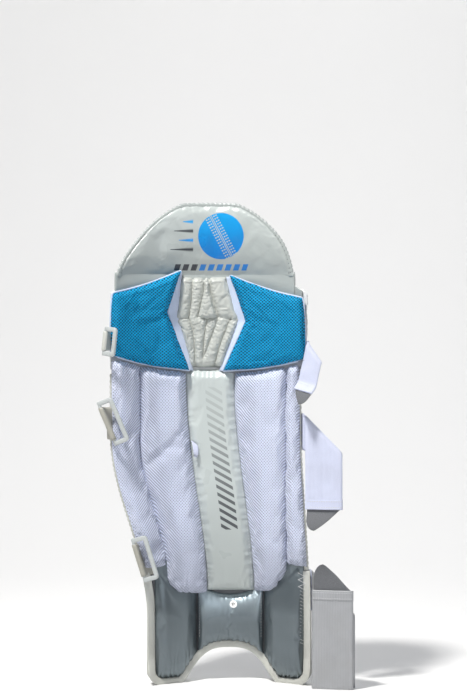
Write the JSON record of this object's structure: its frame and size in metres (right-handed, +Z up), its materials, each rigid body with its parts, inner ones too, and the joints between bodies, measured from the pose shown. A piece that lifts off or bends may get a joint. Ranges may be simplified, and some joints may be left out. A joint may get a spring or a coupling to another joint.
{
  "type": "cricket leg pad",
  "caption": "Left batting leg pad standing on its feet, seen from the padded inside, with knee wings, mesh bolsters, buckles and folded hook-and-loop straps.",
  "frame": {"origin": "on the floor, under the middle of the whole pad with its straps and buckles", "axes": "+Z up the pad, +Y out of the striking front, +X to the side that carries the straps"},
  "size_m": [0.3812, 0.1276, 0.7],
  "materials": {
    "front": "smooth synthetic leather",
    "foam": "closed-cell foam",
    "board": "stiff woven backing",
    "mesh": "padded air mesh",
    "lining": "pearl synthetic leather",
    "silver": "satin silver synthetic leather",
    "binding": "synthetic leather edging",
    "label": "woven label",
    "tab": "folded synthetic leather",
    "wing": "honeycomb mesh",
    "trim": "smooth knitted fabric",
    "welt": "knitted fabric",
    "cup": "quilted synthetic leather",
    "buckle": "moulded plastic",
    "strap": "elastic webbing",
    "hook": "hook fastener"
  },
  "bodies": {
    "shin": {"shin_front_cover": "front", "shin_roll_1": "foam", "shin_roll_2": "foam", "shin_roll_3": "foam", "shin_roll_4": "foam", "shin_roll_5": "foam", "shin_roll_6": "foam", "shin_roll_7": "foam", "shin_backing": "board", "outer_left_bolster": "mesh", "inner_left_bolster": "mesh", "inner_right_bolster": "mesh", "outer_right_bolster": "mesh", "bolster_foams": "foam", "shin_centre_pad": "lining", "shin_centre_foam": "foam", "left_ankle_pad": "silver", "right_ankle_pad": "silver", "ankle_foams": "foam", "instep_panel": "silver", "instep_foam": "foam", "foot_binding": "binding", "left_side_binding": "binding", "right_side_binding": "binding", "size_label": "label", "calf_buckle_tab": "tab", "ankle_buckle_tab": "tab", "calf_strap_anchor": "tab", "ankle_strap_anchor": "tab"},
    "knee": {"knee_roll_lower": "front", "knee_roll_middle": "front", "knee_roll_upper": "front", "knee_roll_foams": "foam", "knee_backing": "board", "left_knee_wing": "wing", "right_knee_wing": "wing", "wing_foams": "foam", "left_wing_trim": "trim", "right_wing_trim": "trim", "left_wing_welt": "welt", "right_wing_welt": "welt", "knee_cup": "cup", "knee_cup_foam": "foam", "knee_buckle_tab": "tab", "knee_strap_anchor": "tab"},
    "top_flap": {"top_flap_front": "front", "top_flap_foam": "foam", "top_flap_lining": "lining", "top_flap_binding": "binding"},
    "knee_buckle": {"knee_buckle": "buckle"},
    "calf_buckle": {"calf_buckle": "buckle"},
    "ankle_buckle": {"ankle_buckle": "buckle"},
    "knee_strap": {"knee_strap": "strap", "knee_strap_tab": "hook"},
    "calf_strap": {"calf_strap": "strap", "calf_strap_tab": "hook"},
    "ankle_strap": {"ankle_strap": "strap", "ankle_strap_tab": "hook"}
  },
  "joints": [
    {"name": "knee_flex", "type": "hinge", "parent": "shin", "child": "knee", "pos_m": [0, -0.019, 0.457], "axis": [1, 0, 0], "range_deg": [-3, 12], "stiffness_Nm_per_rad": 10},
    {"name": "top_flap_flex", "type": "hinge", "parent": "knee", "child": "top_flap", "pos_m": [0, 0.038, 0.59], "axis": [1, 0, 0], "range_deg": [-15, 8], "stiffness_Nm_per_rad": 2},
    {"name": "knee_strap_swing", "type": "hinge", "parent": "knee", "child": "knee_strap", "pos_m": [0.1152, -0.02665, 0.485], "axis": [0, 0, 1], "range_deg": [-10, 18], "stiffness_Nm_per_rad": 0.03},
    {"name": "calf_strap_swing", "type": "hinge", "parent": "shin", "child": "calf_strap", "pos_m": [0.10827, -0.02012, 0.368], "axis": [0, 0, 1], "range_deg": [-60, 10], "stiffness_Nm_per_rad": 0.03},
    {"name": "ankle_strap_swing", "type": "hinge", "parent": "shin", "child": "ankle_strap", "pos_m": [0.12004, -0.01763, 0.138], "axis": [0, 0, 1], "range_deg": [-60, 10], "stiffness_Nm_per_rad": 0.06},
    {"name": "knee_buckle_pivot", "type": "hinge", "parent": "knee", "child": "knee_buckle", "pos_m": [-0.17809, -0.03852, 0.5], "axis": [0.1045, 0, 0.9945], "range_deg": [-110, 5]},
    {"name": "calf_buckle_pivot", "type": "hinge", "parent": "shin", "child": "calf_buckle", "pos_m": [-0.17509, -0.03868, 0.381], "axis": [-0.3907, 0, 0.9205], "range_deg": [-110, 5]},
    {"name": "ankle_buckle_pivot", "type": "hinge", "parent": "shin", "child": "ankle_buckle", "pos_m": [-0.13013, -0.03047, 0.183], "axis": [-0.2924, 0, 0.9563], "range_deg": [-110, 5]}
  ]
}
